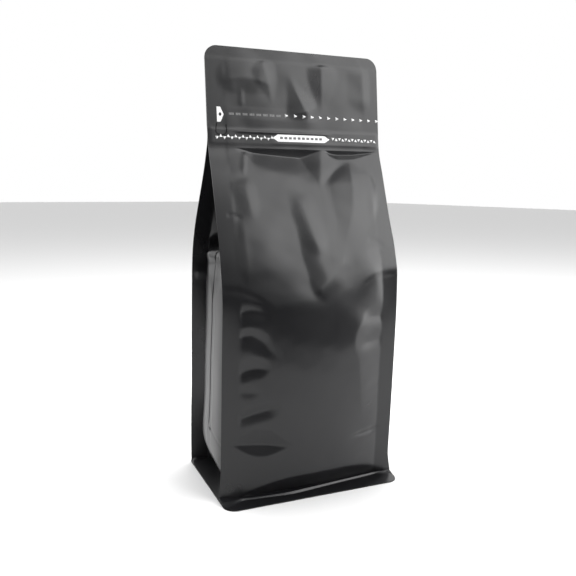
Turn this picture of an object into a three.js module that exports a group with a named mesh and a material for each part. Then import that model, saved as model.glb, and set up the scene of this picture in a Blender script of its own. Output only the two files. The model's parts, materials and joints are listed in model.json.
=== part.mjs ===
// A flat-bottom pouch of laminated film, filled and shut: a front and a back panel, two side
// gussets, four corner seals that stand out as fins, a heat-sealed top with a zipper under it,
// and a flat base with a sealed flange along its edges.
// Millimetres. X runs to the right along the front, Y to the back and Z up. The origin is on
// the floor, under the middle of the top seal.
import * as THREE from 'three';

// ---- Driving dimensions ---------------------------------------------------------------------
const HEIGHT = 327;             // floor to top edge, standing and filled
const PANEL_WIDTH = 138.4;      // front and back panel, flat, across the corner seals
const BODY_HALF = 69.5;         // half width over the front fins where the pouch is full
const BACK_HALF = 70.5;         // the same over the back fins
const SEAL_WIDTH = 13;          // each corner seal
const GUSSET_WEB = 85;          // free width of a side gusset between its two corner seals
const FIN_THICKNESS = 1;        // two films sealed together, with their cut edge

const BASE_FRONT = -50;         // the base outline: front lip, back lip and sides
const BASE_BACK = 48.5;
const BASE_HALF = 71;
const BASE_RADIUS = 9;
const LIP_THICKNESS = 0.8;      // the flange's cut edge
const FLANGE_TOP = 4;           // height of the seam where the body meets the flange

const SHOULDER = 155;           // the contents hold the walls upright up to here
const FOLD_START = 144;         // the point where the gusset's old middle fold opens
const FOLD_IN = 181;            // the filling holds the web out up to here ...
const FOLD_WHOLE = 200;         // ... and here it has turned in as far as its width allows
const GUSSET_OPEN = 236;        // above this the fold closes ...
const GUSSET_SHUT = 262;        // ... and from the zipper up all the films lie flat together
const SHALLOW = 4;              // depth of the fold while the filling holds it
const HUG = 0.85;               // the folded halves lie along the panels, which takes some depth
const FRONT_SPREAD = 26;        // the rise over which the fold opens as far as the front seal ...
const BACK_SPREAD = 50;         // ... and as far as the back one
const WEB_TUCK = 0.48;          // slope of the web where it turns in over the base flange
const WEB_EDGE = 24;            // height of that turn
const ZIPPER_Z = 264;
const ZIPPER_HALF = 4;
const ZIPPER_RISE = 0.7;        // how far the zipper's band stands out of the front
const TOP_RADIUS = 9;           // the rounded corners of the top seal

// Plan of the walls against height, as [height, value] pairs
const FRONT_TIP = [[4, -29.5], [20, -31], [50, -33.5], [112, -37.6], [145, -40], [156, -39.6],
  [165, -38.2], [182, -34.8], [205, -27.5], [237, -16.2], [253, -10], [262, -8.2], [293, -5],
  [327, -1.6]];
const FRONT_SEAM = [[4, -36], [20, -37], [50, -39], [112, -42.5], [140, -43.4], [152, -42.9],
  [165, -41.1], [182, -37.2], [205, -29], [237, -16.6], [253, -10], [262, -8.2], [293, -5],
  [327, -1.6]];
const BACK_TIP = [[4, 47.5], [20, 48.4], [46, 46.6], [60, 44.6], [76, 43], [112, 41], [156, 37.5],
  [180, 34.5], [200, 27], [218, 16.5], [237, 5], [250, -1.8], [262, -6.6], [272, -5.4],
  [293, -3.6], [327, -0.3]];
const BACK_SEAM = [[4, 43], [30, 43], [50, 41], [68, 38], [112, 36.5], [156, 36], [180, 34.5],
  [200, 28], [218, 17.5], [237, 5.5], [250, -1.7], [262, -6.6], [272, -5.4], [293, -3.6],
  [327, -0.3]];
const FRONT_BULGE = [[4, 2.4], [18, 10.6], [60, 10.6], [95, 10.2], [112, 9.4], [130, 7.9],
  [150, 6.2], [165, 4.8], [182, 3.4], [215, 1.5], [262, 0.4], [327, 0]];
const BACK_BULGE = [[4, 2], [15, 8], [60, 10.5], [120, 11], [156, 8.5], [190, 3.5], [225, 1.5],
  [262, 0], [327, 0]];
const SIDE_BULGE = [[4, 12], [60, 12], [110, 11.5], [140, 10], [165, 7.5], [185, 6]];

// Two broad dents of the front panel: the hollow where it leans back, and the fold along its
// shoulder, which hangs down by sag in the middle
const LEAN_HOLLOW = { depth: 2.2, x: 5, z: 190, halfWidth: 22, halfHeight: 26 };
const SHOULDER_FOLD = { depth: 1.8, z: 150, sag: 16, halfHeight: 7 };

// The puckers that run inwards from the corner seals of the full part: height, length across
// the panel, depth, rise along the length and half width
const LEFT_PUCKERS = [
  { z: 136, length: 27, depth: 2.6, rise: -3, half: 4 },
  { z: 121, length: 30, depth: 2.6, rise: -9, half: 4.5 },
  { z: 94, length: 24, depth: 2, rise: 3, half: 3.6 },
  { z: 63, length: 33, depth: 1.6, rise: 6, half: 3.2 },
  { z: 39, length: 40, depth: 2.2, rise: 1, half: 3.6 },
];
const RIGHT_PUCKERS = [
  { z: 150, length: 12, depth: 1.4, rise: 2, half: 2.6 },
  { z: 131, length: 20, depth: 1.8, rise: 0, half: 3.4 },
  { z: 113, length: 16, depth: 1.8, rise: -4, half: 3.2 },
  { z: 40, length: 27, depth: 1.2, rise: -7, half: 2.4 },
];

// ---- Helpers --------------------------------------------------------------------------------
const mix = (a, b, k) => a + (b - a) * k;
const smooth = THREE.MathUtils.smoothstep;

// A smooth curve through [height, value] pairs
function along(pairs, z) {
  const last = pairs.length - 1;
  const i = Math.min(Math.max(pairs.findIndex((pair) => pair[0] > z) - 1, 0), last - 1);
  const start = z >= pairs[last][0] ? last - 1 : i;
  const slope = (k) => {
    const before = pairs[Math.max(k - 1, 0)];
    const after = pairs[Math.min(k + 1, last)];
    return (after[1] - before[1]) / (after[0] - before[0]);
  };
  const [z0, v0] = pairs[start];
  const [z1, v1] = pairs[start + 1];
  const k = THREE.MathUtils.clamp((z - z0) / (z1 - z0), 0, 1);
  const rise0 = slope(start) * (z1 - z0);
  const rise1 = slope(start + 1) * (z1 - z0);
  return v0 * (1 + 2 * k) * (1 - k) ** 2 + rise0 * k * (1 - k) ** 2
    + v1 * k * k * (3 - 2 * k) + rise1 * k * k * (k - 1);
}

// Half width of the panels: full where the pouch is full, flat higher up, rounded at the top
function tipX(z, bodyHalf = BODY_HALF) {
  const side = mix(bodyHalf, PANEL_WIDTH / 2, smooth(z, SHOULDER, GUSSET_SHUT));
  const over = Math.max(z - (HEIGHT - TOP_RADIUS), 0);
  return side - TOP_RADIUS + Math.sqrt(TOP_RADIUS ** 2 - over ** 2);
}
const seamX = (z) => tipX(z) - mix(SEAL_WIDTH - 1, SEAL_WIDTH, smooth(z, SHOULDER, GUSSET_SHUT));

// A bell curve, 1 at the middle
const bell = (offset, half) => Math.exp(-((offset / half) ** 2));

// A pucker: a lens-shaped dent that starts at the seal and dies away across the panel
function pucker({ z: height, length, depth, rise, half }, inward, z) {
  const k = inward / length;
  if (k < 0 || k > 1) return 0;
  return depth * Math.sin(Math.PI * Math.sqrt(k)) * bell(z - height - rise * k, half);
}

// How far the front panel stands forward of its seams at x, z
function frontRelief(x, z) {
  const u = x / seamX(z);
  const crown = Math.max(1 - u * u, 0);
  const { x: hollowX, z: hollowZ, halfWidth, halfHeight } = LEAN_HOLLOW;
  const hollow = LEAN_HOLLOW.depth * bell(x - hollowX, halfWidth) * bell(z - hollowZ, halfHeight);
  const { z: foldZ, sag, halfHeight: foldHalf } = SHOULDER_FOLD;
  const shoulder = SHOULDER_FOLD.depth * bell(z - foldZ + sag * crown, foldHalf);
  const puckers = (x < 0 ? LEFT_PUCKERS : RIGHT_PUCKERS)
    .reduce((sum, item) => sum + pucker(item, seamX(z) - Math.abs(x), z), 0);
  const band = ZIPPER_RISE * Math.exp(-(((z - ZIPPER_Z) / ZIPPER_HALF) ** 4));
  return (along(FRONT_BULGE, z) - hollow - shoulder) * crown - puckers + band;
}

// ---- One ring of the pouch, as [x, y] points, counter-clockwise from above --------------------
const PANEL_STEPS = [0, 0.18, 0.35, 0.5, 0.62, 0.72, 0.8, 0.87, 0.94, 1];
const BACK_STEPS = [0, 0.2, 0.38, 0.54, 0.68, 0.8, 0.91, 1];
const FIN_STEPS = [0.5, 1];
const GUSSET_STEPS = [-1, -0.85, -0.68, -0.5, -0.32, -0.14, 0, 0.14, 0.32, 0.5, 0.68, 0.85, 1];

// Gusset at t, from -1 at the front seal to 1 at the back one. Low down the filling pushes it out
// over the base flange. Above the shoulder its middle fold opens, stays shallow while the filling
// holds the web out, then turns in between the panels as far as the web's width allows.
function gussetPoint(t, z, front, back) {
  const half = (back - front) / 2;
  const opened = smooth(z, FOLD_IN, FOLD_WHOLE);
  const spread = t < 0 ? FRONT_SPREAD : BACK_SPREAD;
  const share = mix(THREE.MathUtils.clamp((z - FOLD_START) / spread, 0.001, 1), 1, opened);
  const deep = HUG * Math.sqrt(Math.max((GUSSET_WEB / 2) ** 2 - half ** 2, 0));
  const depth = mix(SHALLOW * smooth(z, FOLD_START, FOLD_IN), deep, opened);
  const inward = Math.max(1 - Math.abs(t) / share, 0) * depth;
  const tucked = WEB_TUCK * Math.max(WEB_EDGE - z, 0);
  const outward = (1 - t ** 4) * (along(SIDE_BULGE, z) - tucked) * (1 - opened);
  const y = (back + front) / 2 + Math.sign(t) * Math.abs(t) ** mix(1, 0.6, opened) * half;
  return [seamX(z) + outward - inward, y];
}

function rightHalf(z, side) {
  const tip = tipX(z);
  const rearTip = tipX(z, BACK_HALF);
  const seam = seamX(z);
  const frontSeam = along(FRONT_SEAM, z);
  const frontTip = along(FRONT_TIP, z);
  const backSeam = along(BACK_SEAM, z);
  const backTip = along(BACK_TIP, z);
  const fin = Math.min(FIN_THICKNESS, 0.35 * (backTip - frontTip));
  const shut = smooth(z, GUSSET_OPEN, GUSSET_SHUT);
  const closing = (point, k) => [mix(point[0], tip, shut), mix(point[1], mix(frontTip, backTip, k), shut)];
  const inner = FIN_STEPS.map((k) => 1 - k);
  return [
    ...PANEL_STEPS.map((u) => [u * seam, frontSeam - frontRelief(side * u * seam, z)]),
    ...FIN_STEPS.map((k) => [mix(seam, tip, k), mix(frontSeam, frontTip, k)]),
    closing([tip, frontTip + fin], 0.3),
    ...inner.map((k, i) => closing([mix(seam, tip, k), mix(frontSeam, frontTip, k) + fin], 0.32 + 0.02 * i)),
    ...GUSSET_STEPS.slice(1, -1).map((t) => closing(
      gussetPoint(t, z, frontSeam + fin, backSeam - fin), 0.5 + 0.14 * t)),
    ...[0, ...FIN_STEPS].map((k, i) => closing(
      [mix(seam, rearTip, k), mix(backSeam, backTip, k) - fin], 0.66 + 0.02 * i)),
    [rearTip, backTip],
    ...inner.map((k) => [mix(seam, rearTip, k), mix(backSeam, backTip, k)]),
    ...BACK_STEPS.slice(0, -1).reverse().map((u) => [
      u * seam, backSeam + along(BACK_BULGE, z) * Math.max(1 - u * u, 0)]),
  ];
}

// The base outline with the same points in the same order: a rounded rectangle
function baseHalf() {
  const flat = BASE_HALF - BASE_RADIUS;
  const corner = (y, from, k) => {
    const angle = from + k * Math.PI / 2;
    return [flat + BASE_RADIUS * Math.cos(angle), y + BASE_RADIUS * Math.sin(angle)];
  };
  const frontCorner = (k) => corner(BASE_FRONT + BASE_RADIUS, -Math.PI / 2, k);
  const backCorner = (k) => corner(BASE_BACK - BASE_RADIUS, 0, k);
  const sideFront = BASE_FRONT + BASE_RADIUS;
  const sideBack = BASE_BACK - BASE_RADIUS;
  return [
    ...PANEL_STEPS.map((u) => [u * flat, BASE_FRONT]),
    ...[0.2, 0.4, 0.6, 0.8, 1].map(frontCorner),
    ...GUSSET_STEPS.slice(1, -1).map((t) => [BASE_HALF, mix(sideFront, sideBack, (t + 1) / 2)]),
    ...[0, 0.17, 0.33, 0.5, 0.67, 0.83].map(backCorner),
    ...BACK_STEPS.slice().reverse().map((u) => [u * flat, BASE_BACK]),
  ];
}

function half(z, side) {
  const body = rightHalf(Math.max(z, FLANGE_TOP), side);
  const base = baseHalf();
  const rise = THREE.MathUtils.clamp((z - LIP_THICKNESS) / (FLANGE_TOP - LIP_THICKNESS), 0, 1);
  return body.map(([x, y], i) => [mix(base[i][0], x, rise), mix(base[i][1], y, rise)]);
}

function ring(z) {
  const right = half(z, 1);
  const left = half(z, -1).slice(1, -1).reverse().map(([x, y]) => [-x, y]);
  return [...right, ...left].map(([x, y]) => new THREE.Vector3(x, y, z));
}

// ---- Skin through the rings, closed by a fan at the base and at the top -----------------------
function ringHeights() {
  const low = [0, LIP_THICKNESS, 2.4, FLANGE_TOP, 7, 11, 16, 22];
  const full = Array.from({ length: 25 }, (_, i) => 28 + 5.6 * i);
  const upper = Array.from({ length: 9 }, (_, i) => 171 + 8.1 * i);
  const flat = [242, 248, 254, 259, GUSSET_SHUT, 266, 270, 284, 300, HEIGHT - TOP_RADIUS];
  const corner = [0.5, 0.75, 0.92, 1].map((k) => HEIGHT - TOP_RADIUS + k * TOP_RADIUS * 0.999);
  return [...low, ...full, ...upper, ...flat, ...corner];
}

function pouchGeometry() {
  const rings = ringHeights().map(ring);
  const count = rings[0].length;
  const positions = rings.flat().flatMap((point) => point.toArray());
  const indices = [];
  for (let level = 0; level < rings.length - 1; level += 1) {
    for (let i = 0; i < count; i += 1) {
      const a = level * count + i;
      const b = level * count + (i + 1) % count;
      indices.push(a, b, b + count, a, b + count, a + count);
    }
  }
  const cap = (points, first, up) => {
    const contour = points.map((point) => new THREE.Vector2(point.x, point.y));
    THREE.ShapeUtils.triangulateShape(contour, []).forEach(([a, b, c]) => {
      indices.push(first + a, first + (up ? b : c), first + (up ? c : b));
    });
  };
  cap(rings[0], 0, false);
  cap(rings[rings.length - 1], (rings.length - 1) * count, true);
  const geometry = new THREE.BufferGeometry();
  geometry.setAttribute('position', new THREE.Float32BufferAttribute(positions, 3));
  geometry.setIndex(indices);
  geometry.computeVertexNormals();
  return geometry;
}

const film = new THREE.MeshStandardMaterial({ color: 0x2c2c2e, roughness: 0.5, metalness: 0 });
const pouch = new THREE.Mesh(pouchGeometry(), film);
pouch.name = 'pouch';

const group = new THREE.Group();
group.add(pouch);
export default group;
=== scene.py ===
# %% [markdown]
# # A filled flat-bottom pouch of black film
# The object is a pouch for a kilogram of dry food: a front and a back panel, two side gussets,
# four corner seals that stand out as fins, a flat base with a sealed flange, and a zipper under
# a heat-sealed top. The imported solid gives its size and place. The lesson builds thin film over
# that place: every panel is a sheet with its own folds, and the print is ink laid on the film.

# %% Load the frame
import json
import math

import bmesh
import bpy
import numpy as np
from mathutils import Matrix, Vector

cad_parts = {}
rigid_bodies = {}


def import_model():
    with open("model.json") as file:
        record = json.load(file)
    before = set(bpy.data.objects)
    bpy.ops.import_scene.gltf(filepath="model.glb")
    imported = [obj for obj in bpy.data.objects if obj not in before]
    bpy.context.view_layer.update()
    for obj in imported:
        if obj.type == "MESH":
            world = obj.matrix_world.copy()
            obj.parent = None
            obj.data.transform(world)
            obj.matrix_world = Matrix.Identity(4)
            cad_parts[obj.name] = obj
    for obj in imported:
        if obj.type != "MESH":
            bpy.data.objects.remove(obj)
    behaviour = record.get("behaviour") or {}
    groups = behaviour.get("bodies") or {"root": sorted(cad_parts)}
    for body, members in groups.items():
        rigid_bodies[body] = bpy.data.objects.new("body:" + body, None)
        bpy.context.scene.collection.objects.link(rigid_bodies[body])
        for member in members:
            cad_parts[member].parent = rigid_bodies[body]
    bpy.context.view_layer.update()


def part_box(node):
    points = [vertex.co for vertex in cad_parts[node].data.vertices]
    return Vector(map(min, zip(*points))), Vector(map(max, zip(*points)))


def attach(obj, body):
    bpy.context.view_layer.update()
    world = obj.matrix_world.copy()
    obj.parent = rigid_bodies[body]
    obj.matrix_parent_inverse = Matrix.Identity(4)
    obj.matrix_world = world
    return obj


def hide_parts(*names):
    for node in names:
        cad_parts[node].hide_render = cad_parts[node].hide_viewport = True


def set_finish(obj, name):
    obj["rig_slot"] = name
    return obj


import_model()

MM = 0.001
low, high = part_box("pouch")
HEIGHT = high.z / MM
print("solid, mm:", [round(v / MM, 1) for v in (*low, *high)])

# %% [markdown]
# ## Camera
# The photo looks at the pouch's front left corner from a little above, from about half a metre.
# A camera can be placed by eye, by a constraint that aims it, or by its own measured place and
# turn. The last keeps the perspective of the near corner exact, so the place, heading, pitch
# and roll are stated, and the turn is a product of three rotations.

# %% Camera
CAMERA_PLACE = Vector((-205.1, -476.0, 226.3)) * MM
CAMERA_HEADING = math.radians(22.92)
CAMERA_PITCH = math.radians(8.36)
CAMERA_ROLL = math.radians(0.25)
LENS = 41.9

camera = bpy.data.objects.new("camera", bpy.data.cameras.new("camera"))
camera.data.lens = LENS
camera.data.sensor_width = 36
turn = (
    Matrix.Rotation(-CAMERA_HEADING, 4, "Z")
    @ Matrix.Rotation(math.pi / 2 - CAMERA_PITCH, 4, "X")
    @ Matrix.Rotation(CAMERA_ROLL, 4, "Z")
)
camera.matrix_world = Matrix.Translation(CAMERA_PLACE) @ turn
bpy.context.collection.objects.link(camera)
bpy.context.scene.camera = camera
print("camera", [round(v, 3) for v in CAMERA_PLACE])

# %% [markdown]
# ## The walls in plan
# A full pouch has no simple section. What can be said simply is where each seam stands at each
# height: upright over the filling, then leaning in to the flat top. So each seam is a smooth
# curve through a few heights, in millimetres, and every sheet below hangs between these curves.

# %% Seams against height
PANEL_HALF = 69.2        # half width of the flat panel
BODY_HALF = 69.5         # the same over the fins where the pouch is full
RIGHT_HALF = 68.3        # the front right fin lies flat, so it reaches less far
BACK_HALF = 70.5         # the back fins reach furthest
SEAL_WIDTH = 13          # a corner seal
GUSSET_WEB = 85          # free width of a gusset between its seals
TOP_RADIUS = 9
SHOULDER = 155
BASE_FRONT, BASE_BACK = -50, 50
BASE_HALF, BASE_RADIUS = 71, 9
BACK_RADIUS = 3          # the two corners of the base at the back are sharper
FLANGE_TOP = 3.2
FILM = 0.26              # one film, with the ink and the sealing layer

FRONT_TIP = [(3, -29.5), (20, -31), (50, -33.5), (112, -37.6), (145, -40), (156, -39.6),
             (165, -38.2), (182, -34.8), (205, -27.5), (237, -16.2), (253, -10), (262, -8.2),
             (293, -5), (327, -1.6)]
FRONT_SEAM = [(3, -36), (20, -37), (50, -39), (112, -42.5), (140, -43.4), (152, -42.9),
              (165, -41.1), (182, -37.2), (205, -29), (237, -16.6), (253, -10), (262, -8.2),
              (293, -5), (327, -1.6)]
BACK_TIP = [(3, 48.6), (20, 48.4), (46, 46.6), (60, 44.6), (76, 43), (112, 41), (156, 37.5),
            (180, 34.5), (200, 27), (218, 16.5), (237, 5), (250, -1.8), (262, -6.6), (272, -5.4),
            (293, -3.6), (327, -0.3)]
BACK_SEAM = [(3, 46), (24, 45.8), (42, 43.8), (56, 40.6), (68, 38.3), (112, 36.5), (156, 36),
             (180, 34.5), (200, 28), (218, 17.5), (237, 5.5), (250, -1.7), (262, -6.6),
             (272, -5.4), (293, -3.6), (327, -0.3)]
FRONT_BULGE = [(3, 11), (17, 11), (60, 10.6), (95, 10.2), (112, 9.4), (130, 7.9), (150, 6.2),
               (165, 4.8), (182, 3.4), (215, 1.5), (262, 0.4), (327, 0)]
BACK_BULGE = [(3, 7.5), (17, 8), (60, 9), (120, 9), (156, 7), (190, 3.5), (225, 1.5), (262, 0),
              (327, 0)]
SIDE_BULGE = [(3, 10.5), (40, 10.3), (60, 9.9), (100, 9.2), (125, 8.2), (140, 7.8), (165, 6.8),
              (185, 6)]


def along(pairs, z):
    """The smooth curve through (height, value) pairs, at heights z."""
    heights, values = np.array(pairs, float).T
    rise, run = np.diff(values), np.diff(heights)
    inner = (values[2:] - values[:-2]) / (heights[2:] - heights[:-2])
    slopes = np.concatenate([[rise[0] / run[0]], inner, [rise[-1] / run[-1]]])
    z = np.clip(z, heights[0], heights[-1])
    i = np.clip(np.searchsorted(heights, z, side="right") - 1, 0, len(heights) - 2)
    step = heights[i + 1] - heights[i]
    k = (z - heights[i]) / step
    return (
        values[i] * (1 + 2 * k) * (1 - k) ** 2 + slopes[i] * step * k * (1 - k) ** 2
        + values[i + 1] * k * k * (3 - 2 * k) + slopes[i + 1] * step * k * k * (k - 1)
    )


def mix(a, b, k):
    return a + (b - a) * k


def smooth(value, start, end):
    k = np.clip((value - start) / (end - start), 0, 1)
    return k * k * (3 - 2 * k)


def tip_x(z, flat=0, back=0):
    """Half width over the fins, with round top corners.

    flat is 1 on the flat fin at the front right, and back is 1 on the back fins."""
    over = np.clip(z - (HEIGHT - TOP_RADIUS), 0, TOP_RADIUS)
    body = BODY_HALF + flat * (RIGHT_HALF - BODY_HALF) + back * (BACK_HALF - BODY_HALF)
    side = mix(body, PANEL_HALF, smooth(z, SHOULDER, 262))
    return side - TOP_RADIUS + np.sqrt(TOP_RADIUS**2 - over**2)


def seam_x(z, flat=0):
    return tip_x(z, flat) - mix(SEAL_WIDTH - 1 + flat, SEAL_WIDTH, smooth(z, SHOULDER, 262))


def soft_over(value, edge):
    """The value where it is above zero, and zero elsewhere, with a bend as wide as edge."""
    return 0.5 * (value + np.sqrt(value**2 + edge**2))


print("front seam at the shoulder, mm:", round(float(along(FRONT_SEAM, SHOULDER)), 1))

# %% [markdown]
# ## Folds
# Film doesn't stretch, so where a full pouch has too much of it, the film buckles into valleys
# and ridges. A cloth simulation makes such folds in places of its own choosing. Here each fold
# of the real pouch has a known place, so a fold is a stroke: a line of a few points on the
# panel, how far it reaches to the left and right of that line, and a height. A keen stroke has
# a crease along its line, as film has, and a soft one is round.

# %% Stroke
def line_points(points, steps=8):
    """A smooth line through the points, as an array of short straight steps."""
    knots = np.array(points, float)
    if len(knots) == 2:
        k = np.linspace(0, 1, steps + 1)[:, None]
        return mix(knots[0], knots[1], k)
    padded = np.vstack([2 * knots[0] - knots[1], knots, 2 * knots[-1] - knots[-2]])
    made = []
    for a, b, c, d in zip(padded, padded[1:], padded[2:], padded[3:]):
        for k in np.linspace(0, 1, steps, endpoint=False):
            made.append(0.5 * (2 * b + (c - a) * k + (2 * a - 5 * b + 4 * c - d) * k**2
                               + (3 * b - a - 3 * c + d) * k**3))
    return np.vstack([made, knots[-1]])


def stroke(x, z, line, reach, height, keen=0.3, taper=(0.25, 0.25), slim=0.6):
    """The rise of one fold at x, z: above zero for a ridge and below for a valley.

    reach is the fold's extent to the left and to the right of its line, and slim is the
    share of it that is left at a tapered end. With keen=None its sides are flat facets."""
    path = line_points(line)
    near = np.full(x.shape, 1e9)
    where = np.zeros(x.shape)
    left = np.zeros(x.shape, bool)
    count = len(path) - 1
    for i in range(count):
        (ax, az), (bx, bz) = path[i], path[i + 1]
        length = (bx - ax) ** 2 + (bz - az) ** 2
        k = np.clip(((x - ax) * (bx - ax) + (z - az) * (bz - az)) / length, 0, 1)
        gap = np.hypot(x - mix(ax, bx, k), z - mix(az, bz, k))
        closer = gap < near
        near = np.where(closer, gap, near)
        where = np.where(closer, (i + k) / count, where)
        left = np.where(closer, (bx - ax) * (z - az) > (bz - az) * (x - ax), left)
    fade = np.ones(x.shape)
    if taper[0]:
        fade = fade * smooth(where, 0, taper[0])
    if taper[1]:
        fade = fade * (1 - smooth(where, 1 - taper[1], 1))
    t = np.clip(near / (np.where(left, reach[0], reach[1]) * mix(slim, 1, fade)), 0, 1)
    if keen is None:
        return height * fade * np.where(t < 0.75, 1 - t / 0.875, 16 / 7 * (1 - t) ** 2)
    return height * fade * (1 - t) ** 2 * (1 + 2 * (1 - keen) * t)

# %% [markdown]
# ## The front panel's own shape
# Over the filling the front is a belly: it stands forward between the seams, tucks in under
# itself above the base flange, and leans back over the shoulder. Its corners buckle into short
# puckers that start at the seal. The flat top keeps faint lines where the folded gusset behind
# it ends. All of this is one height function, so that the print can use it too.

# %% Front relief
def fold(height, reach, keen, taper, *line, slim=0.6):
    return dict(line=line, reach=reach, height=height, keen=keen, taper=taper, slim=slim)


LEFT_PUCKERS = [
    fold(-1.3, (8, 12), 0.5, (0, 0.5), (-58, 141), (-50, 142.5), (-42, 140), (-35, 133)),
    fold(-1.4, (7, 12), 0.6, (0, 0.5), (-58, 124), (-50, 125), (-43, 121), (-38, 114), (-30, 107)),
    fold(-1.5, (10, 9.5), 0.5, (0, 0.4), (-58, 98), (-50, 101), (-43, 101), (-36, 99)),
    fold(-0.8, (6, 7), 0.3, (0, 0.6), (-58, 84), (-50, 84), (-42, 83)),
    fold(-1.7, (7, 10), 0.5, (0, 0.35), (-58, 64), (-47, 68), (-38, 70.5), (-28, 73)),
]
RIGHT_PUCKERS = [
    fold(-0.4, (9, 8), 0.3, (0.1, 0.4), (57, 132), (46, 132.5), (35, 132)),
    fold(-0.4, (9, 8), 0.3, (0.1, 0.4), (57, 114), (45, 114), (34, 111.5)),
    fold(-0.2, (7, 7), 0.3, (0.1, 0.6), (57, 79), (46, 79), (38, 77.5)),
]
BELLY_EDGE = [
    fold(1.4, (22, 26), 0.6, (0.3, 0.25), (54, 141), (42, 134), (33, 127), (29, 118),
         (29, 110), (33, 101), (35, 85), (37, 66), (42, 46), slim=0.9),
]
BODY_CREASES = [
    fold(-3.2, (14, 10), None, (0.4, 0.55), (-67, 44.8), (-40, 43.2), (-18, 41.2), slim=0.15),
    fold(-1.1, (4.5, 4), None, (0.3, 0.4), (60, 42.8), (48, 42.3), (38, 41.7), (24, 41), slim=0.3),
]
SHOULDER_FOLDS = [
    fold(-0.35, (3.5, 7), 0.8, (0.05, 0.3), (-70, 157.5), (-60, 157), (-51, 154), (-42, 148.5),
         (-36, 143), (-28, 136)),
    fold(-0.25, (2.5, 3), 0.7, (0.3, 0.15), (36, 155), (45, 160.5), (56, 163), (69, 163.5)),
    fold(0.8, (14, 17), 0.3, (0.35, 0.1), (34, 160), (48, 165), (60, 167), (72, 168)),
    fold(0.35, (22, 14), 0.2, (0.3, 0.3), (50, 134), (50, 146), (50, 158), (50, 172)),
]
ZIP_DENTS = [
    dict(low=[(-50, 256), (-45, 252), (-37, 244), (-20, 238), (-2, 233.5), (6, 230), (17, 229)],
         roof=255.7, slopes=(0.16, 0.42), wall=(13, 19, 0.17)),
    dict(low=[(21, 256), (25, 251), (31, 248.8), (45, 249.3), (60, 253), (68, 256)],
         roof=255.7, slopes=(0.4, 0.42), wall=(70, 70, 1)),
]
POCKET_EDGE, POCKET_SOFT = 0.12, 0.45   # how round a dent's edges are, and its lower line
LEAN_FOLDS = [
    fold(3.1, (30, 24), None, (0.4, 0.7), (41, 250), (40, 240), (39, 226), (35, 208), (29, 194),
         (19, 178), slim=0.3),
    fold(-0.4, (5, 7), 0.5, (0.3, 0.25), (13, 226), (20, 234.5), (29, 241), (38, 246)),
    fold(0.8, (32, 8), 0.2, (0.35, 0.35), (-51, 208), (-51, 190), (-51, 172), (-51, 156)),
    fold(1.1, (12, 12), 0.3, (0.25, 0.3), (-14, 226), (-5, 216), (-1, 205), (1.5, 195), (4, 186),
         (8, 178)),
    fold(-1.2, (14, 30), 0.5, (0.5, 0.25), (-16, 218), (-11.5, 196), (-9, 178), (-5.5, 162),
         (-3, 147)),
    fold(0.8, (13, 12), 0.4, (0.15, 0.3), (-4, 152), (8, 161), (19, 172), (27, 188)),
    fold(0.25, (3, 4), 0.6, (0.2, 0.3), (-42, 254), (-44, 245), (-46, 235)),
    fold(0.5, (9, 12), 0.3, (0.3, 0.3), (-44, 236), (-45, 222), (-43, 204)),
    fold(-0.35, (2, 2.5), 0.8, (0.1, 0.3), (-62, 208.5), (-56, 208), (-50, 205.5)),
    fold(0.3, (5, 7), 0.4, (0.2, 0.3), (54, 246), (57, 232), (56, 216), (53, 200)),
    fold(-0.3, (4, 4), 0.4, (0.2, 0.3), (44, 190), (54, 187), (60, 182)),
]
TOP_FOLDS = [
    fold(1.0, (16, 12), None, (0.3, 0.3), (-62, 302), (-48, 305), (-32, 305), (-17, 301)),
    fold(0.75, (10, 12), None, (0.2, 0.8), (-27, 322), (-22, 302), (-19, 287), slim=0.2),
    fold(1.5, (12, 17), None, (0.8, 0.25), (-6, 313), (0, 298), (5, 288), (10, 277), slim=0.25),
    fold(1.2, (16, 14), None, (0.2, 0.75), (21.5, 323), (21, 302), (20.5, 280), slim=0.25),
    fold(0.8, (8, 15), None, (0.25, 0.3), (56, 322), (56, 304), (56, 284), slim=0.7),
    fold(0.45, (7, 10), 0.3, (0.2, 0.2), (-48, 277), (-14, 277), (22, 277)),
    fold(0.2, (3, 4), 0.8, (0.2, 0.2), (-43, 298), (-43, 285)),
]


def pocket(x, z, low, roof, slopes, wall):
    """A dent under a level roof: the film slopes in from a line of points and out to the roof.

    wall is its right end: x at the bottom and at the roof, and the slope there."""
    start = np.interp(x, *np.array(low, float).T)
    ease = POCKET_SOFT * np.clip((roof - start) / 12, 0, 1)
    climb, fall = soft_over(slopes[0] * (z - start), ease), slopes[1] * (roof - z)
    bottom, top, steep = wall
    side = steep * (np.interp(z, (low[-1][1] - 1, roof), (bottom, top)) - x)
    least = climb - soft_over(climb - fall, POCKET_EDGE)
    least = least - soft_over(least - side, POCKET_EDGE)
    return -soft_over(least, POCKET_EDGE)


RIPPLES = [              # wavelength, direction in degrees, phase and height of each
    (31, 20, 0.4, 0.07), (23, 75, 2.1, 0.045), (17, -35, 4.0, 0.02), (12.5, 50, 5.2, 0.012),
    (9, -70, 1.3, 0.008),
]


def ripple(x, z):
    """The slight unevenness that no single fold accounts for."""
    total = 0
    for length, angle, phase, height in RIPPLES:
        along_x, along_z = math.cos(math.radians(angle)), math.sin(math.radians(angle))
        bent = x + 5 * np.sin(z / 27 + phase)
        turns = 2 * math.pi * (bent * along_x + z * along_z) / length
        total = total + height * np.sin(turns + phase)
    return total


def panel_crown(x, z, flat=0):
    return np.clip(1 - (x / seam_x(z, flat)) ** 2, 0, 1)


def between_seams(x, z):
    return smooth(seam_x(z, x > 0) + 0.6 - np.abs(x), 0, 1.6)


TOP_SEAL = 7.5           # the last heat seal, pressed flat
SEAL_STEP = 0.12


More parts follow.
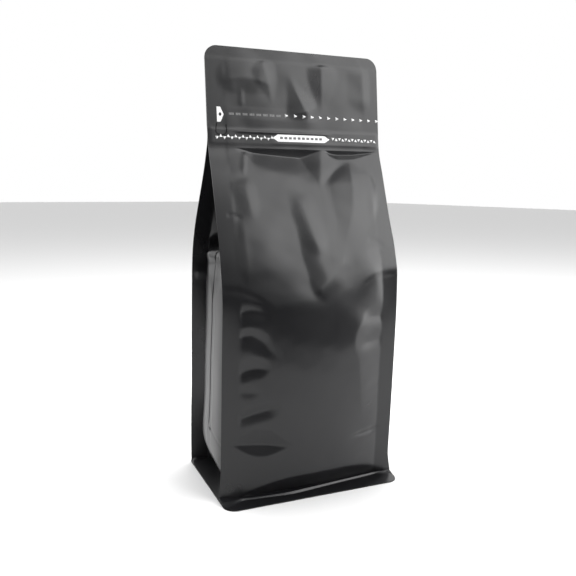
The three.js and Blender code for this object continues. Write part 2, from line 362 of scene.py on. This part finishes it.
def front_relief(x, z):
    """How far the folds stand forward of the panel."""
    held = sum(stroke(x, z, **one) for one in LEFT_PUCKERS + RIGHT_PUCKERS + BELLY_EDGE)
    free = sum(stroke(x, z, **one) for one in BODY_CREASES + SHOULDER_FOLDS + LEAN_FOLDS)
    free = free + sum(pocket(x, z, **one) for one in ZIP_DENTS)
    top = sum(stroke(x, z, **one) for one in TOP_FOLDS)
    unsealed = 1 - smooth(z, HEIGHT - TOP_SEAL - 1.5, HEIGHT - TOP_SEAL)
    return (held + ripple(x, z)) * between_seams(x, z) + free + (top + SEAL_STEP) * unsealed


ZIPPER_BED = 0.35
# height on the pouch, rise, half width, and where it starts and ends across the panel
ZIPPER_RIBS = [
    (267.4, 0.45, 0.8, -46, 24),
    (260.0, 0.12, 1.2, -20, 62),
    (283.2, 0.12, 0.8, -52, 8),
]
RIB_END = 5


def zipper_rise(x, z):
    """The zipper behind the film: a flat bed with a rib above and below it, and a tear line."""
    bed = ZIPPER_BED * smooth(z, 256, 260) * (1 - smooth(z, 268.5, 270))
    ribs = sum(
        rise * np.exp(-(((z - rib) / half) ** 2)) * smooth(x, start - RIB_END, start + RIB_END)
        * (1 - smooth(x, end - RIB_END, end + RIB_END))
        for rib, rise, half, start, end in ZIPPER_RIBS)
    return bed * (1 - smooth(np.abs(x), 67, 69)) + ribs


TUCK_SLOPE = 0.6         # how fast the belly turns in under itself, over the base flange
TUCK_EDGE = 0.5          # the keen edge of that turn
ARCH = 2.7               # that edge is an arch, flatter than a parabola
FRONT_TURN = (4, 60.5, 15.6)   # its middle, half width and height
BACK_TURN = (0, 56, 11)


def tucked(z, edge_z, slope=TUCK_SLOPE, edge=TUCK_EDGE):
    """How far the belly has turned in at z, below the turn's edge."""
    return slope * (soft_over(edge_z - z, edge) - soft_over(FLANGE_TOP - z, edge))


FOOT, LEFT_FOOT = 2.7, 1.8   # the front fins spread to the base's corners
FOOT_FORWARD, FOOT_EDGE = 0.18, 13   # and the left one comes forward, below that height


def foot_x(x, z):
    """The fins' feet at the front spread sideways in a smooth curve."""
    return np.where(x > 0, FOOT, -LEFT_FOOT) * (1 - smooth(z, FLANGE_TOP - 2, 26)) ** 2


def turn_edge(x, middle, half, height):
    """The height of that edge: a flat arch between the seams."""
    return FLANGE_TOP + height * (1 - np.clip(np.abs((x - middle) / half), 0, 1) ** ARCH)


RIGHT_SWEEP = 0.2        # the share of the left fin's sweep that the right one has, lower down
LEAN_EARLY, LEAN_LATE = 4, 6   # it starts to lean this much lower left and higher right


def lean_height(x, z):
    """The height whose lean the film has at x, z."""
    left = LEAN_EARLY * smooth(x, -66, -46) * (1 - smooth(x, -34, 6))
    right = LEAN_LATE * smooth(x, 22, 44)
    return z + (left - right) * smooth(z, 138, 152) * (1 - smooth(z, 162, 212))


def front_y(x, z):
    """The outer face of the front film."""
    leaning = lean_height(x, z)
    seam, tip = along(FRONT_SEAM, leaning), along(FRONT_TIP, leaning)
    flat = (x > 0) * 1.0
    sweep = mix(RIGHT_SWEEP, 1, smooth(z, 175, 240))
    tip = mix(tip, mix(seam, tip, sweep), flat)
    inner, outer = seam_x(z, flat), tip_x(z, flat)
    k = np.clip((np.abs(x) - inner) / (outer - inner), 0, 1)
    crown = panel_crown(x, z, flat)
    forward = along(FRONT_BULGE, leaning) * crown + front_relief(x, z) + zipper_rise(x, z)
    forward = forward - tucked(z, turn_edge(x, *FRONT_TURN))
    forward = forward + FOOT_FORWARD * k * (x < 0) * soft_over(FOOT_EDGE - z, 3)
    return mix(seam, tip, k) - forward


print("belly at half height, mm:", round(float(front_y(np.array([0.0]), np.array([90.0]))[0]), 1))

# %% [markdown]
# ## From a grid to a sheet
# Each sheet starts as a flat grid and its points are moved to where the film is. The grid's
# rows follow the height and its columns the width. Rows crowd where the shape turns quickly: in
# the tuck over the flange, under the zipper and in the round top corners. The sheet is then
# made solid inwards, and its cut edges are marked sharp, so that the shading runs flat up to
# them. A Solidify modifier would do the same, but its rim would be shaded round.

# %% Sheet helper
KEEN_ANGLE = math.radians(60)


def shell(bm, thickness):
    """Gives a sheet its thickness: extruding closes it, then its first side moves inwards."""
    bm.normal_update()
    first_side = [(vert, vert.co - vert.normal * thickness * MM) for vert in bm.verts]
    bmesh.ops.extrude_face_region(bm, geom=bm.faces[:], use_keep_orig=True)
    for vert, inner in first_side:
        vert.co = inner
    bm.normal_update()
    for edge in bm.edges:
        edge.smooth = edge.calc_face_angle(0) < KEEN_ANGLE


def sheet(name, columns, rows, place, thickness=FILM):
    """A grid whose columns and rows take these values and whose points go where place says."""
    bm = bmesh.new()
    bmesh.ops.create_grid(bm, x_segments=len(columns) - 1, y_segments=len(rows) - 1, size=0.5)
    bm.verts.ensure_lookup_table()
    grid = np.array([vert.co[:2] for vert in bm.verts]) + 0.5
    column = np.interp(grid[:, 0], np.linspace(0, 1, len(columns)), columns)
    row = np.interp(grid[:, 1], np.linspace(0, 1, len(rows)), rows)
    for vert, point in zip(bm.verts, np.stack(place(column, row), axis=1) * MM):
        vert.co = point
    shell(bm, thickness)
    return finish_mesh(bm, name)


def finish_mesh(bm, name):
    mesh = bpy.data.meshes.new(name)
    bm.to_mesh(mesh)
    bm.free()
    for face in mesh.polygons:
        face.use_smooth = True
    piece = bpy.data.objects.new(name, mesh)
    bpy.context.collection.objects.link(piece)
    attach(piece, "root")
    return piece


# Columns are numbered from -1 to 1: the seams are at plus and minus SEAM_AT
SEAM_AT = 0.8
FIN_CELLS, PANEL_CELLS = 10, 92
panel_columns = np.concatenate([
    np.linspace(-1, -SEAM_AT, FIN_CELLS, endpoint=False),
    np.linspace(-SEAM_AT, SEAM_AT, PANEL_CELLS, endpoint=False),
    np.linspace(SEAM_AT, 1, FIN_CELLS + 1),
])
FLANGE_ROWS = -1         # rows below zero climb the flange, from lip to seam
LIP_Z, BEAD_FOOT, BEAD_TOP = FILM + 0.5, 1.6, 2.9
BEAD_RUN = 1             # the depth over which the bead along the base seal rises
RAMP_START, RAMP_RUN = 6.5, 5   # at the left corner the bead opens out into a ramp
FLANGE_DEPTH = 13        # about how far the flange reaches in from its lip
HEEL = 12                # how sharply it turns up into the wall
ROUND_END = 0.9999       # the rows stop just short of the top, where the corner runs level
corner_angles = np.linspace(0, math.pi / 2, 13)
corner_rows = HEIGHT - TOP_RADIUS + TOP_RADIUS * np.sin(corner_angles) * ROUND_END
panel_rows = np.concatenate([
    np.linspace(FLANGE_ROWS, 0, 44, endpoint=False),
    np.linspace(FLANGE_TOP, 24, 20, endpoint=False),
    np.linspace(24, 246, 164, endpoint=False),
    np.linspace(246, 257, 44, endpoint=False),
    np.linspace(257, 270, 20, endpoint=False),
    np.linspace(270, HEIGHT - TOP_RADIUS, 36, endpoint=False),
    corner_rows,
])


def past_corner(x):
    """From 0 at the left corners of the base to 1 where its straight front begins."""
    return smooth(x, -67, -53)


def bead_rise(x, depth, whole):
    """How far the flange has risen at that depth from its lip, from 0 to 1 at its whole depth."""
    corner = 1 - past_corner(x)
    start = mix(7.5 + 0.1 * np.hypot(x + 18, 6), RAMP_START, corner)
    height = mix(mix(0.55, 1, smooth(x, -55, -5)), 1, corner)
    step = np.clip((depth - start) / mix(BEAD_RUN, RAMP_RUN, corner), 0, 1)
    return height * step + (1 - height) * np.clip((depth - start) / (whole - start), 0, 1)


def panel_place(column, row, wall_y, lip_y, flat=0, back=0):
    """Front or back: below row 0 the flange, above it the wall itself."""
    z = np.maximum(row, FLANGE_TOP)
    share = np.abs(column)
    flat = flat * (column > 0)
    inner, outer = seam_x(z, flat), tip_x(z, flat, back)
    across = np.where(share <= SEAM_AT, share / SEAM_AT * inner,
                      mix(inner, outer, (share - SEAM_AT) / (1 - SEAM_AT)))
    x = np.sign(column) * across
    y = wall_y(x, z)
    if not back:
        x = x + foot_x(x, z) * np.clip((share - SEAM_AT) / (1 - SEAM_AT), 0, 1)
    climb = np.clip(row + 1, 0, 1)
    on_flange = row < FLANGE_TOP
    radius = BACK_RADIUS if back else BASE_RADIUS
    depth = np.clip(climb * FLANGE_DEPTH, 0, radius)
    lip_half = BASE_HALF - radius + np.sqrt(radius**2 - (radius - depth) ** 2)
    x = np.where(on_flange, mix(column * lip_half, x, climb**2), x)
    y = np.where(on_flange, mix(lip_y, y, climb), y)
    rise = np.maximum(bead_rise(x, np.abs(y - lip_y), np.abs(wall_y(x, z) - lip_y)), climb**HEEL)
    foot = mix(LIP_Z, BEAD_FOOT, climb * past_corner(x))
    z = np.where(on_flange, mix(foot, mix(BEAD_TOP, FLANGE_TOP, climb), rise), z)
    return x, y, z


# %% Front panel
front_panel = sheet(
    "front_panel", panel_columns, panel_rows,
    lambda column, row: panel_place(column, row, front_y, BASE_FRONT, flat=1),
)
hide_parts("pouch")
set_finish(front_panel, "film")
print("front panel faces:", len(front_panel.data.polygons))

# %% [markdown]
# ## The back panel
# The photo doesn't show the back. It is the same film with the same kind of folds, plainer: a
# belly, a shoulder and a few puckers of its own. Its grid runs the other way across, so that
# its outer face points to the back.

# %% Back panel
BACK_FOLDS = [
    fold(-1.0, (12, 5), 0.5, (0, 0.5), (58, 139), (47, 140), (34, 133)),
    fold(-1.1, (11, 5), 0.6, (0, 0.5), (58, 113), (45, 113), (32, 105)),
    fold(-0.8, (10, 7), 0.4, (0, 0.5), (58, 72), (42, 75), (30, 76)),
    fold(-1.0, (5, 12), 0.5, (0, 0.5), (-58, 132), (-46, 133), (-34, 127)),
    fold(-0.9, (6, 10), 0.5, (0, 0.5), (-58, 96), (-45, 95), (-36, 91)),
    fold(-0.8, (3, 9), 0.9, (0, 0.4), (-58, 47), (-40, 47), (-26, 45)),
]
BACK_FREE = [
    fold(-1.1, (7, 9), 0.5, (0.05, 0.3), (69, 161), (48, 159), (30, 150), (12, 148)),
    fold(-1.0, (7, 9), 0.5, (0.3, 0.05), (-14, 149), (-34, 152), (-50, 160), (-69, 162)),
    fold(1.2, (14, 14), 0.4, (0.3, 0.3), (-24, 240), (-14, 212), (-2, 184), (0, 160)),
    fold(-1.0, (12, 12), 0.4, (0.3, 0.3), (2, 238), (10, 210), (8, 182)),
    fold(0.9, (12, 14), 0.3, (0.3, 0.3), (30, 236), (28, 208), (22, 180)),
    fold(-1.0, (10, 9), 0.3, (0.2, 0.2), (-50, 247), (-10, 244), (30, 248), (52, 250)),
]


def back_y(x, z):
    """The outer face of the back film."""
    seam, tip = along(BACK_SEAM, z), along(BACK_TIP, z)
    inner, outer = seam_x(z), tip_x(z, back=1)
    k = np.clip((np.abs(x) - inner) / (outer - inner), 0, 1)
    crown = panel_crown(x, z)
    held = sum(stroke(x, z, **one) for one in BACK_FOLDS)
    free = sum(stroke(x, z, **one) for one in BACK_FREE)
    top = sum(stroke(x, z, **one) for one in TOP_FOLDS)
    outward = along(BACK_BULGE, z) * crown + held * between_seams(x, z) + free - top
    return mix(seam, tip, k) + outward - tucked(z, turn_edge(x, *BACK_TURN))


back_panel = sheet(
    "back_panel", panel_columns[::-1], panel_rows,
    lambda column, row: panel_place(column, row, back_y, BASE_BACK, back=1),
)
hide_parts("pouch")
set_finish(back_panel, "film")
print("back panel faces:", len(back_panel.data.polygons))

# %% [markdown]
# ## The side gussets
# A gusset is as wide as the pouch is deep. Over the filling it is pushed out and keeps only the
# line of its old middle fold. Above the shoulder the front and back lean together, and the
# spare width goes inwards: the fold opens from a point in the middle, stays shallow while the
# filling holds it, then turns in at a pucker. Its depth follows from the web's fixed width.

# %% Gussets
FOLD_START = 144         # the point where the old middle fold opens
FOLD_IN, FOLD_WHOLE = 175, 194
FRONT_SPREAD, BACK_SPREAD = 26, 50   # the rise over which the fold opens as far as a seal
SHALLOW = 3.5            # its depth before the film folds in
FOLD_SOFT = 0.16         # and there its bottom is round
HUG = 0.85               # the folded halves lie along the panels, which takes some depth
FRONT_SQUARE, BACK_SQUARE = 4, 3.4   # how square the web's section is over the filling
WEB_TUCK, WEB_TUCK_EDGE = 0.62, 5    # the web turns in over the flange too, but softly
WEB_TURN, WEB_TURN_CLIMB = 21, 8     # from that height, which climbs towards the back
CREASE, CREASE_REACH = 0.32, 0.04    # the line that its old middle fold leaves
NEAR_HALF = 0.46         # each folded half keeps this near to its own panel
WEB_FOLDS = [            # across the web from the front, minus 40, to the back, and height
    fold(4.5, (6, 10), 0.6, (0.05, 0.2), (-42, 193), (-28, 190), (0, 183), (34, 175)),
    fold(2.5, (4, 4), 0.8, (0.05, 0.2), (-42, 204), (-20, 199), (0, 194), (20, 188)),
]


def gusset_web(t, z, root_x, front, back):
    """x and y of the web at t, from -1 at the front seal to 1 at the back one."""
    half = (back - front) / 2
    opened = smooth(z, FOLD_IN, FOLD_WHOLE)
    power = mix(np.where(t < 0, FRONT_SQUARE, BACK_SQUARE), 2, smooth(z, 150, 182))
    turned = tucked(z, FLANGE_TOP + WEB_TURN + WEB_TURN_CLIMB * t, WEB_TUCK, WEB_TUCK_EDGE)
    pillow = (1 - np.abs(t) ** power) * (along(SIDE_BULGE, z) - turned)
    spread = np.where(t < 0, FRONT_SPREAD, BACK_SPREAD)
    share = mix(np.clip((z - FOLD_START) / spread, 0.001, 1), 1, opened)
    deep = HUG * np.sqrt(np.maximum((GUSSET_WEB / 2) ** 2 - half**2, 0))
    depth = mix(SHALLOW * smooth(z, FOLD_START, FOLD_IN), deep, opened)
    off_fold = np.sqrt(t**2 + (FOLD_SOFT * (1 - opened) * smooth(z, 150, 165)) ** 2)
    inward = np.maximum(1 - off_fold / share, 0) * depth
    crease_at = smooth(z, 30, 50) - 1
    crease = CREASE * np.exp(-np.abs(t - crease_at) / CREASE_REACH)
    crease = crease * (1 - smooth(z, 145, 165)) * smooth(z, 30, 36)
    relief = sum(stroke(40 * t, z, **one) for one in WEB_FOLDS)
    y = (front + back) / 2 + np.sign(t) * np.abs(t) ** mix(1, 0.35, opened) * half
    return root_x + pillow * (1 - opened) + relief * (1 - t**4) - crease - inward, y


WEB_AT = 0.8             # the web's share of the columns, between the seals
BEHIND = 1.15 * FILM     # from a panel's outer face to the film behind it
web_columns = np.concatenate([
    np.linspace(-1, -WEB_AT, FIN_CELLS, endpoint=False),
    np.linspace(-WEB_AT, WEB_AT, 64, endpoint=False),
    np.linspace(WEB_AT, 1, FIN_CELLS + 1),
])
web_rows = np.concatenate([
    np.linspace(FLANGE_ROWS, 0, 8, endpoint=False),
    np.linspace(FLANGE_TOP, 24, 18, endpoint=False),
    np.linspace(24, HEIGHT - TOP_RADIUS, 214, endpoint=False),
    corner_rows[:-1],
])


def gusset_place(column, row, side):
    z = np.maximum(row, FLANGE_TOP)
    flat = (side > 0) * (column < 0) * 1.0
    seam, tip = seam_x(z, flat), tip_x(z, flat, column > 0)
    share = np.abs(column)
    fin = np.clip((share - WEB_AT) / (1 - WEB_AT), 0, 1)
    fin_x = mix(seam, tip, fin)
    fin_y = np.where(column < 0, front_y(side * fin_x, z) + BEHIND,
                     back_y(side * fin_x, z) - BEHIND)
    front_root = seam_x(z, (side > 0) * 1.0)
    front_seam = front_y(side * front_root, z) + BEHIND
    back_seam = back_y(side * seam_x(z), z) - BEHIND
    root_x = mix(front_root, seam_x(z), np.clip(column / WEB_AT / 2 + 0.5, 0, 1))
    x, y = gusset_web(column / WEB_AT, z, root_x, front_seam, back_seam)
    inside_x = side * np.clip(x, 0, np.minimum(front_root, seam_x(z)))
    behind_front = front_y(inside_x, z) + BEHIND
    before_back = back_y(inside_x, z) - BEHIND
    gap = np.maximum(before_back - behind_front, 0)
    y = np.where(column < 0, np.clip(y, behind_front, behind_front + NEAR_HALF * gap),
                 np.clip(y, before_back - NEAR_HALF * gap, before_back))
    on_fin = share > WEB_AT
    x = np.where(on_fin, fin_x + np.abs(foot_x(side * fin_x, z)) * fin * (column < 0), x)
    y = np.where(on_fin, fin_y, y)
    climb = np.clip(row + 1, 0, 1)
    on_flange = row < FLANGE_TOP
    lip_y = mix(BASE_FRONT + BASE_RADIUS, BASE_BACK - BACK_RADIUS, (column + 1) / 2)
    x = np.where(on_flange, mix(BASE_HALF, x, climb), x)
    y = np.where(on_flange, mix(lip_y, y, climb), y)
    z = np.where(on_flange, mix(LIP_Z, FLANGE_TOP, climb), z)
    return side * x, y, z


for side, name in ((-1, "left_gusset"), (1, "right_gusset")):
    gusset = sheet(
        name, web_columns[::-side], web_rows,
        lambda column, row: gusset_place(column, row, side),
    )
    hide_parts("pouch")
    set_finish(gusset, "film")
    print(name, "faces:", len(gusset.data.polygons))

# %% [markdown]
# ## The base
# The base is a separate film: flat on the floor, with round corners, sealed to the walls along
# the flange. A block with its upright edges beveled round is enough, because only its edge and
# its underside ever show.

# %% Base
BASE_THICKNESS = 0.5
bm = bmesh.new()
bmesh.ops.create_cube(bm, size=1)
bmesh.ops.scale(bm, verts=bm.verts, vec=Vector(
    (2 * BASE_HALF, BASE_BACK - BASE_FRONT, BASE_THICKNESS)) * MM)
bmesh.ops.translate(bm, verts=bm.verts, vec=Vector(
    (0, (BASE_FRONT + BASE_BACK) / 2, BASE_THICKNESS / 2)) * MM)
for y, radius in ((BASE_FRONT, BASE_RADIUS), (BASE_BACK, BACK_RADIUS)):
    corners = [edge for edge in bm.edges if edge.calc_length() < 1.01 * BASE_THICKNESS * MM
               and all(abs(vert.co.y - y * MM) < 0.1 * MM for vert in edge.verts)]
    bmesh.ops.bevel(bm, geom=corners, offset=radius * MM, segments=12, profile=0.5,
                    affect="EDGES", material=-1)
base = finish_mesh(bm, "base_panel")
for face in base.data.polygons:
    face.use_smooth = False
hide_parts("pouch")
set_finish(base, "film")
print("base faces:", len(base.data.polygons))

# %% [markdown]
# ## The print
# The pouch has one printed line along its zipper and one where it tears open. Ink on film is a
# layer of its own, a few hundredths of a millimetre thick, so it is laid on as thin shapes that
# follow the film's height function. Texture painting would also do, but shapes keep sharp edges
# at any distance. Where the real pouch has words, plain bars and ticks stand in their place.

# %% Print helper
INK = 0.07
UPWARD, DOWNWARD, RIGHTWARD = (math.radians(angle) for angle in (90, -90, 0))


def on_film(x, z, proud=INK):
    return front_y(np.asarray(x, float), np.asarray(z, float)) - proud


def printed(piece):
    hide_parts("pouch")
    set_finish(piece, "print")
    return piece


def triangles(name, marks, width, length):
    """Triangles of ink at x, z, each with a direction: width across it and length along it."""
    bm = bmesh.new()
    for x, z, turn in marks:
        size = Matrix.Diagonal((length / 1.5, width / math.sqrt(3), 1, 1))
        upright = Matrix.Rotation(math.pi / 2, 4, "X")
        at = Matrix.Translation((x, 0, z)) @ upright @ Matrix.Rotation(turn, 4, "Z") @ size
        about = Matrix.Rotation(-math.pi / 2, 4, "Z")
        bmesh.ops.create_circle(bm, cap_ends=True, radius=1, segments=3, matrix=at @ about)
    flat = np.array([vert.co[:] for vert in bm.verts])
    for vert, y in zip(bm.verts, on_film(flat[:, 0], flat[:, 2])):
        vert.co.y = y
        vert.co *= MM
    bm.normal_update()
    bmesh.ops.reverse_faces(bm, faces=[face for face in bm.faces if face.normal.y > 0])
    shell(bm, INK)
    return printed(finish_mesh(bm, name))


def label(name, start, end, points, z_low, z_high, proud=INK, cells=24):
    """A bar of ink from x start to end. points is how far each end is drawn out to a point."""
    middle, half = (z_low + z_high) / 2, (z_high - z_low) / 2

    def place(column, row):
        inset = np.ones(column.shape)
        for point, far in zip(points, (column - start, end - column)):
            if point:
                inset = np.clip(np.minimum(inset, far / point), 0.05, 1)
        z = middle + row * half * inset
        return column, on_film(column, z, proud), z

    return printed(sheet(name, np.linspace(start, end, cells + 1), [-1, 0, 1], place, INK))


# %% Print
ZIP_PITCH = 5.56
LEFT_ROW, RIGHT_ROW = 8, 7
zip_marks = []
for i in range(LEFT_ROW):
    zip_marks.append((-62.7 + ZIP_PITCH * i, 262.9, DOWNWARD))
    zip_marks.append((-59.9 + ZIP_PITCH * i, 263.8, UPWARD))
for i in range(RIGHT_ROW):
    zip_marks.append((29 + ZIP_PITCH * i, 264.6 - 0.1 * i, DOWNWARD))
    zip_marks.append((31.8 + ZIP_PITCH * i, 263.7 - 0.1 * i, UPWARD))
triangles("zip_marks", zip_marks, width=2.6, length=2.0)
tear_marks = [(-8.8 + 6.95 * i, 280.2 - 0.08 * i, RIGHTWARD) for i in range(12)]
triangles("tear_marks", tear_marks, width=2.5, length=2.6)
label("zip_label", -20, 26, (3.5, 4), 261.2, 266.3)
for i in range(10):
    label("label_tick", -14.5 + 3.55 * i, -12.2 + 3.55 * i, (0, 0), 263, 264.7, 2 * INK, cells=2)
for i in range(8):
    label("tear_dash", -53 + 5.2 * i, -49.4 + 5.2 * i, (0, 0), 279, 280.6, cells=3)
label("start_label", -62, -57, (0, 2.3), 273.8, 284.3, cells=8)
label("start_tick", -60.6, -58.6, (1, 1), 277.5, 280.7, 2 * INK, cells=4)
TAB_LINE = line_points([(-62.5, 272.5), (-63, 266), (-58, 264.8), (-55.5, 267), (-55.5, 272)])


def tab_point(at):
    return [np.interp(at, np.arange(len(TAB_LINE)), TAB_LINE[:, i]) for i in (0, 1)]


def tab_place(column, row):
    x, z = tab_point(column)
    ahead, behind = tab_point(column + 0.5), tab_point(column - 0.5)
    run, rise = ahead[0] - behind[0], ahead[1] - behind[1]
    length = np.hypot(run, rise)
    x, z = x - row * rise / length, z + row * run / length
    return x, on_film(x, z), z


printed(sheet("tab_line", np.arange(len(TAB_LINE)), [-0.3, 0.3], tab_place, INK))

# %% [markdown]
# ## Film
# Black laminate: almost no colour of its own, and a satin skin that mirrors softly. So the base
# colour is very dark and the look comes from roughness. Real film is never even: the roughness
# drifts over a few centimetres, and a fine tooth breaks the highlights.

# %% Film material
def new_material(name):
    material = bpy.data.materials.new(name)
    material.use_nodes = True
    nodes, links = material.node_tree.nodes, material.node_tree.links
    return material, nodes, links, nodes["Principled BSDF"]


film, nodes, links, shader = new_material("film")
shader.inputs["Base Color"].default_value = (0.008, 0.008, 0.009, 1)
shader.inputs["IOR"].default_value = 1.45
place = nodes.new("ShaderNodeTexCoord")
drift = nodes.new("ShaderNodeTexNoise")
drift.inputs["Scale"].default_value = 22
drift.inputs["Detail"].default_value = 3
links.new(place.outputs["Object"], drift.inputs["Vector"])
level = nodes.new("ShaderNodeMapRange")
level.inputs["From Min"].default_value = 0.3
level.inputs["From Max"].default_value = 0.7
level.inputs["To Min"].default_value = 0.27
level.inputs["To Max"].default_value = 0.33
links.new(drift.outputs["Fac"], level.inputs["Value"])
links.new(level.outputs["Result"], shader.inputs["Roughness"])
tooth = nodes.new("ShaderNodeTexNoise")
tooth.inputs["Scale"].default_value = 1400
tooth.inputs["Detail"].default_value = 2
links.new(place.outputs["Object"], tooth.inputs["Vector"])
bump = nodes.new("ShaderNodeBump")
bump.inputs["Strength"].default_value = 0.12
bump.inputs["Distance"].default_value = 0.0001
links.new(tooth.outputs["Fac"], bump.inputs["Height"])
links.new(bump.outputs["Normal"], shader.inputs["Normal"])
for piece in list(bpy.data.objects):
    if piece.get("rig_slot") == "film":
        piece.data.materials.append(film)

# %% Ink material
def ink(name, shade, uneven, roughness=0.4):
    """Ink that is a little thinner in places, as print on film is."""
    material, nodes, links, shader = new_material(name)
    shader.inputs["Roughness"].default_value = roughness
    place = nodes.new("ShaderNodeTexCoord")
    speck = nodes.new("ShaderNodeTexNoise")
    speck.inputs["Scale"].default_value = 900
    links.new(place.outputs["Object"], speck.inputs["Vector"])
    colours = nodes.new("ShaderNodeValToRGB")
    colours.color_ramp.elements[0].position = 0.35
    colours.color_ramp.elements[0].color = (shade * uneven, shade * uneven, shade * uneven, 1)
    colours.color_ramp.elements[1].position = 0.6
    colours.color_ramp.elements[1].color = (shade, shade, shade, 1)
    links.new(speck.outputs["Fac"], colours.inputs["Fac"])
    links.new(colours.outputs["Color"], shader.inputs["Base Color"])
    return material


white_ink, grey_ink = ink("white_ink", 0.85, 0.9), ink("grey_ink", 0.13, 0.5)
dark_ink = ink("dark_ink", 0.008, 0.5, roughness=0.9)
dark_ink.node_tree.nodes["Principled BSDF"].inputs["Specular IOR Level"].default_value = 0.1
INKS = {"label_tick": grey_ink, "tear_dash": grey_ink, "start_tick": dark_ink, "tab_line": dark_ink}
for piece in list(bpy.data.objects):
    if piece.get("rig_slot") == "print":
        piece.data.materials.append(INKS.get(piece.name.split(".")[0], white_ink))

# %% [markdown]
# ## Floor and light
# Black film shows its surroundings more than itself: the pale floor gives the lower front its
# grey, the pale room behind gives the side its bright strip, and the dark room in front gives
# the shadows their depth. One large soft lamp in front, up and to the right, lights the part
# that leans back.

# %% Floor
FLOOR_SIZE = 12
FLOOR_FRONT = -0.46      # the floor ends below the camera, and the room beyond it is dark
bm = bmesh.new()
bmesh.ops.create_grid(bm, x_segments=8, y_segments=8, size=FLOOR_SIZE / 2)
bmesh.ops.translate(bm, verts=bm.verts, vec=(0, FLOOR_FRONT + FLOOR_SIZE / 2, 0))
floor_mesh = bpy.data.meshes.new("floor")
bm.to_mesh(floor_mesh)
bm.free()
floor = bpy.data.objects.new("floor", floor_mesh)
bpy.context.collection.objects.link(floor)
floor_paint, nodes, links, shader = new_material("floor_paint")
shader.inputs["Base Color"].default_value = (0.8, 0.8, 0.8, 1)
shader.inputs["Roughness"].default_value = 0.9
floor.data.materials.append(floor_paint)

# %% Room
FRONT_DARK, ROOM_PALE = 0.03, 1.6
world = bpy.data.worlds.new("room")
bpy.context.scene.world = world
world.use_nodes = True
nodes, links = world.node_tree.nodes, world.node_tree.links
sky = nodes["Background"]
sky.inputs["Color"].default_value = (1, 1, 1, 1)
place = nodes.new("ShaderNodeTexCoord")
split = nodes.new("ShaderNodeSeparateXYZ")
links.new(place.outputs["Generated"], split.inputs["Vector"])
pale = nodes.new("ShaderNodeMapRange")
pale.inputs["From Min"].default_value = -0.1
pale.inputs["From Max"].default_value = 0.25
pale.inputs["To Min"].default_value = FRONT_DARK
pale.inputs["To Max"].default_value = ROOM_PALE
links.new(split.outputs["Y"], pale.inputs["Value"])
seen = nodes.new("ShaderNodeLightPath")
pick = nodes.new("ShaderNodeMix")
pick.inputs["B"].default_value = 1.0
links.new(seen.outputs["Is Camera Ray"], pick.inputs["Factor"])
links.new(pale.outputs["Result"], pick.inputs["A"])
links.new(pick.outputs["Result"], sky.inputs["Strength"])

# %% Lamps
def soft_lamp(name, place, aim, width, height, power):
    lamp = bpy.data.lights.new(name, "AREA")
    lamp.shape = "RECTANGLE"
    lamp.size, lamp.size_y, lamp.energy = width, height, power
    lamp_object = bpy.data.objects.new(name, lamp)
    lamp_object.location = place
    lamp_object.rotation_euler = (Vector(aim) - Vector(place)).to_track_quat("-Z", "Y").to_euler()
    bpy.context.collection.objects.link(lamp_object)


soft_lamp("key", (0.82, -0.84, 0.9), (0, 0, 0.2), 1.1, 1.05, 18)
soft_lamp("fill", (-0.15, -1.3, 0.95), (0, 0, 0.2), 1.7, 1.0, 4.2)
soft_lamp("side", (1.15, -0.6, 0.3), (0, 0, 0.12), 0.4, 0.8, 7.5)
soft_lamp("top", (0, 0.2, 1.5), (0, 0, 0), 1.2, 1.2, 20)
bpy.context.scene.view_settings.view_transform = "Standard"
